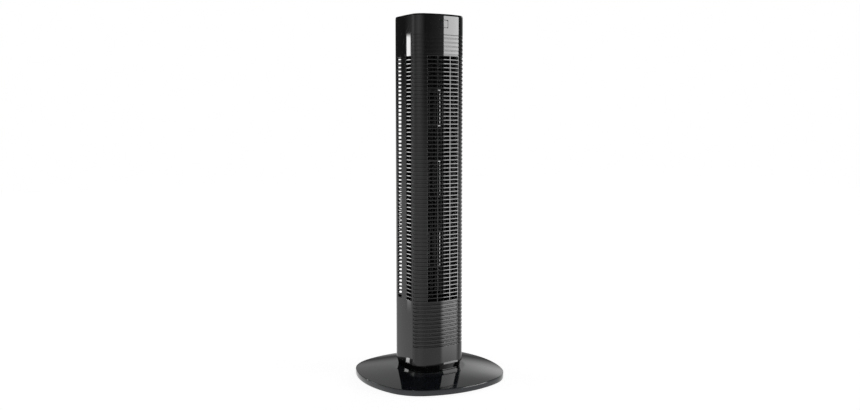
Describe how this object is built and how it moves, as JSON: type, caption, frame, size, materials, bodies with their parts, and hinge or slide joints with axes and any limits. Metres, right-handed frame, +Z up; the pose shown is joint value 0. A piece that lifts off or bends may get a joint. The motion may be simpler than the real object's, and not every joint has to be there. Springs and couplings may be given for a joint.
{
  "type": "tower fan",
  "caption": "Slim upright fan: a ribbed rounded-square column with a tangential wheel behind horizontal slots turns on a wide low domed base.",
  "frame": {"origin": "on the floor, under the middle of the base, which is also the swing axis", "axes": "+Z up; air leaves towards -Y; +X to the right seen from the front"},
  "size_m": [0.318, 0.316, 0.8],
  "materials": {
    "gloss_black": "high-gloss moulded black",
    "base_gloss": "high-gloss moulded black",
    "satin_black": "fine satin moulded black",
    "wheel_black": "satin moulded black",
    "window_smoke": "smoked glossy window",
    "key_grey": "satin dark grey",
    "rubber_black": "matt rubber",
    "acetal_white": "natural acetal",
    "steel": "bright steel",
    "zinc_plate": "zinc-plated sheet",
    "winding": "varnished copper windings on laminations",
    "bronze": "sintered bronze",
    "board_green": "green laminate with parts",
    "part_dark": "dark moulded component"
  },
  "bodies": {
    "base": {"base_cover": "base_gloss", "base_tray": "satin_black", "foot_pads": "rubber_black", "base_screws": "steel", "cord_grommet": "rubber_black", "ring_gear": "acetal_white", "thrust_washer": "acetal_white"},
    "column": {"neck_skirt": "gloss_black", "pivot_retainer": "zinc_plate", "retainer_screws": "steel", "rear_shell": "gloss_black", "front_grille": "gloss_black", "top_cap": "gloss_black", "display_window": "window_smoke", "display_board": "board_green", "control_board": "board_green", "key_switches": "part_dark", "motor_bracket": "satin_black", "motor_isolators": "rubber_black", "motor_screws": "steel", "motor_can_upper": "zinc_plate", "motor_can_lower": "zinc_plate", "motor_stator": "winding", "bearing_bush": "bronze", "bearing_rubber": "rubber_black", "bearing_bracket": "satin_black", "scroll_wall": "satin_black", "tongue_wall": "satin_black", "power_board": "board_green", "capacitor": "part_dark", "wiring_loom": "rubber_black", "swing_motor": "zinc_plate", "swing_screws": "steel", "shell_screws": "steel"},
    "wheel": {"motor_rotor": "steel", "motor_shaft": "steel", "drive_hub": "zinc_plate", "wheel_segment_1": "wheel_black", "wheel_segment_2": "wheel_black", "wheel_segment_3": "wheel_black", "wheel_segment_4": "wheel_black", "wheel_segment_5": "wheel_black", "wheel_segment_6": "wheel_black", "wheel_segment_7": "wheel_black", "end_pin": "steel"},
    "pinion": {"swing_shaft": "steel", "swing_pinion": "acetal_white"},
    "power_button": {"power_key": "key_grey"},
    "speed_button": {"speed_key": "key_grey"},
    "mode_button": {"mode_key": "key_grey"},
    "timer_button": {"timer_key": "key_grey"},
    "swing_button": {"swing_key": "key_grey"}
  },
  "joints": [
    {"name": "column_swing", "type": "hinge", "parent": "base", "child": "column", "pos_m": [0, 0, 0.023], "axis": [0, 0, 1], "range_deg": [-40, 40]},
    {"name": "pinion_turn", "type": "hinge", "parent": "column", "child": "pinion", "pos_m": [0, 0.04475, 0.026], "axis": [0, 0, 1], "range_deg": [-172, 172]},
    {"name": "wheel_spin", "type": "hinge", "parent": "column", "child": "wheel", "pos_m": [0, 0.003, 0.446], "axis": [0, 0, 1], "continuous": true},
    {"name": "power_press", "type": "slide", "parent": "column", "child": "power_button", "axis": [0, 0, -1], "range_m": [0, 0.0012], "stiffness_N_per_m": 500},
    {"name": "speed_press", "type": "slide", "parent": "column", "child": "speed_button", "axis": [0, 0, -1], "range_m": [0, 0.0012], "stiffness_N_per_m": 500},
    {"name": "mode_press", "type": "slide", "parent": "column", "child": "mode_button", "axis": [0, 0, -1], "range_m": [0, 0.0012], "stiffness_N_per_m": 500},
    {"name": "timer_press", "type": "slide", "parent": "column", "child": "timer_button", "axis": [0, 0, -1], "range_m": [0, 0.0012], "stiffness_N_per_m": 500},
    {"name": "swing_press", "type": "slide", "parent": "column", "child": "swing_button", "axis": [0, 0, -1], "range_m": [0, 0.0012], "stiffness_N_per_m": 500}
  ],
  "couplings": [
    {"joint": "pinion_turn", "follows": "column_swing", "ratio": 4.2857}
  ]
}
